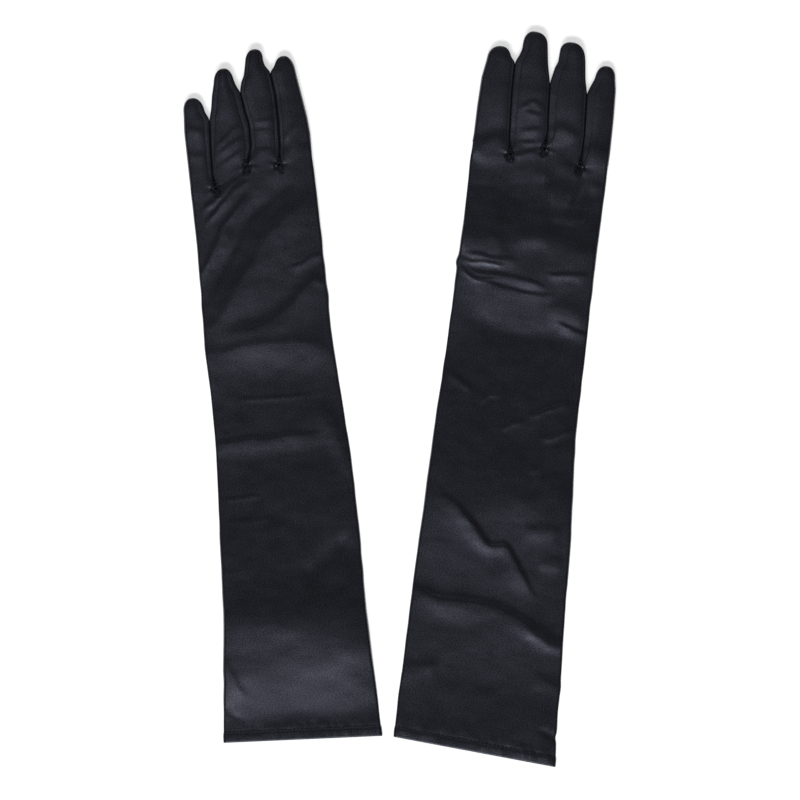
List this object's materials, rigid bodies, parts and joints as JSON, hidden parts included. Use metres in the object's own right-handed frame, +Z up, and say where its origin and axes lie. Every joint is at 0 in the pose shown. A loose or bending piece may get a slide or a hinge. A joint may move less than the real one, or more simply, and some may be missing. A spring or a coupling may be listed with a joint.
{
  "type": "opera gloves",
  "caption": "Long close-fitting stretch satin gloves that reach above the elbow, lying flat with the backs up and the thumbs folded under the palms.",
  "frame": {"origin": "centre of the box that holds both gloves, on the surface they lie on", "axes": "+X from the left glove to the right glove, +Y from the cuffs towards the fingertips, +Z up from the surface"},
  "size_m": [0.3258, 0.557, 0.0089],
  "materials": {
    "satin": "black stretch satin",
    "satin_side": "black stretch satin, seams and fourchettes",
    "hem": "black stretch satin, turned hem",
    "thread": "black sewing thread"
  },
  "bodies": {
    "left_sleeve": {"left_cuff_hem": "hem", "left_hem_thread": "thread", "left_upper_sleeve": "satin", "left_upper_seam": "satin_side"},
    "left_forearm": {"left_forearm_sleeve": "satin", "left_forearm_seam": "satin_side"},
    "left_hand": {"left_hand_back": "satin", "left_hand_palm": "satin", "left_hand_fold": "satin", "left_hand_seam": "satin_side"},
    "left_thumb": {"left_thumb_front": "satin", "left_thumb_back": "satin", "left_thumb_seam": "satin_side"},
    "left_index": {"left_index_back": "satin", "left_index_front": "satin", "left_index_fourchette": "satin_side", "left_index_fold": "satin"},
    "left_middle": {"left_middle_back": "satin", "left_middle_front": "satin", "left_middle_fourchette_ring_side": "satin_side", "left_middle_fourchette_index_side": "satin_side"},
    "left_ring": {"left_ring_back": "satin", "left_ring_front": "satin", "left_ring_fourchette_little_side": "satin_side", "left_ring_fourchette_middle_side": "satin_side"},
    "left_little": {"left_little_back": "satin", "left_little_front": "satin", "left_little_seam": "satin_side", "left_little_fourchette": "satin_side"},
    "right_sleeve": {"right_cuff_hem": "hem", "right_hem_thread": "thread", "right_upper_sleeve": "satin", "right_upper_seam": "satin_side"},
    "right_forearm": {"right_forearm_sleeve": "satin", "right_forearm_seam": "satin_side"},
    "right_hand": {"right_hand_back": "satin", "right_hand_palm": "satin", "right_hand_fold": "satin", "right_hand_seam": "satin_side"},
    "right_thumb": {"right_thumb_front": "satin", "right_thumb_back": "satin", "right_thumb_seam": "satin_side"},
    "right_index": {"right_index_back": "satin", "right_index_front": "satin", "right_index_fourchette": "satin_side", "right_index_fold": "satin"},
    "right_middle": {"right_middle_back": "satin", "right_middle_front": "satin", "right_middle_fourchette_ring_side": "satin_side", "right_middle_fourchette_index_side": "satin_side"},
    "right_ring": {"right_ring_back": "satin", "right_ring_front": "satin", "right_ring_fourchette_little_side": "satin_side", "right_ring_fourchette_middle_side": "satin_side"},
    "right_little": {"right_little_back": "satin", "right_little_front": "satin", "right_little_seam": "satin_side", "right_little_fourchette": "satin_side"}
  },
  "joints": [
    {"name": "left_elbow_fold", "type": "hinge", "parent": "left_sleeve", "child": "left_forearm", "pos_m": [-0.08228, -0.16409, 0.00905], "axis": [0.9962, 0.0872, 0], "range_deg": [0, 150]},
    {"name": "left_wrist_fold", "type": "hinge", "parent": "left_forearm", "child": "left_hand", "pos_m": [-0.10363, 0.07998, 0.00905], "axis": [0.9962, 0.0872, 0], "range_deg": [0, 90]},
    {"name": "left_thumb_swing", "type": "hinge", "parent": "left_hand", "child": "left_thumb", "pos_m": [-0.07307, 0.12079, 0.0025], "axis": [0, 0, -1], "range_deg": [0, 70]},
    {"name": "left_index_fold", "type": "hinge", "parent": "left_hand", "child": "left_index", "pos_m": [-0.07846, 0.18758, 0.00905], "axis": [0.9962, 0.0872, 0], "range_deg": [0, 90]},
    {"name": "left_middle_fold", "type": "hinge", "parent": "left_hand", "child": "left_middle", "pos_m": [-0.10143, 0.18557, 0.00905], "axis": [0.9962, 0.0872, 0], "range_deg": [0, 90]},
    {"name": "left_ring_fold", "type": "hinge", "parent": "left_hand", "child": "left_ring", "pos_m": [-0.12773, 0.18327, 0.00905], "axis": [0.9962, 0.0872, 0], "range_deg": [0, 90]},
    {"name": "left_little_fold", "type": "hinge", "parent": "left_hand", "child": "left_little", "pos_m": [-0.15228, 0.18112, 0.00905], "axis": [0.9962, 0.0872, 0], "range_deg": [0, 90]},
    {"name": "right_elbow_fold", "type": "hinge", "parent": "right_sleeve", "child": "right_forearm", "pos_m": [0.06703, -0.17375, 0.00905], "axis": [0.9945, -0.1045, 0], "range_deg": [0, 150]},
    {"name": "right_wrist_fold", "type": "hinge", "parent": "right_forearm", "child": "right_hand", "pos_m": [0.09369, 0.07985, 0.00905], "axis": [0.9945, -0.1045, 0], "range_deg": [0, 90]},
    {"name": "right_thumb_swing", "type": "hinge", "parent": "right_hand", "child": "right_thumb", "pos_m": [0.06128, 0.12549, 0.0025], "axis": [0, 0, 1], "range_deg": [0, 70]},
    {"name": "right_index_fold", "type": "hinge", "parent": "right_hand", "child": "right_index", "pos_m": [0.06896, 0.19909, 0.00905], "axis": [0.9945, -0.1045, 0], "range_deg": [0, 90]},
    {"name": "right_middle_fold", "type": "hinge", "parent": "right_hand", "child": "right_middle", "pos_m": [0.09671, 0.19617, 0.00905], "axis": [0.9945, -0.1045, 0], "range_deg": [0, 90]},
    {"name": "right_ring_fold", "type": "hinge", "parent": "right_hand", "child": "right_ring", "pos_m": [0.12456, 0.19325, 0.00905], "axis": [0.9945, -0.1045, 0], "range_deg": [0, 90]},
    {"name": "right_little_fold", "type": "hinge", "parent": "right_hand", "child": "right_little", "pos_m": [0.14912, 0.19067, 0.00905], "axis": [0.9945, -0.1045, 0], "range_deg": [0, 90]},
    {"name": "right_glove_slide", "type": "slide", "parent": "left_sleeve", "child": "right_sleeve", "axis": [1, 0, 0], "range_m": [0, 0.15]}
  ]
}
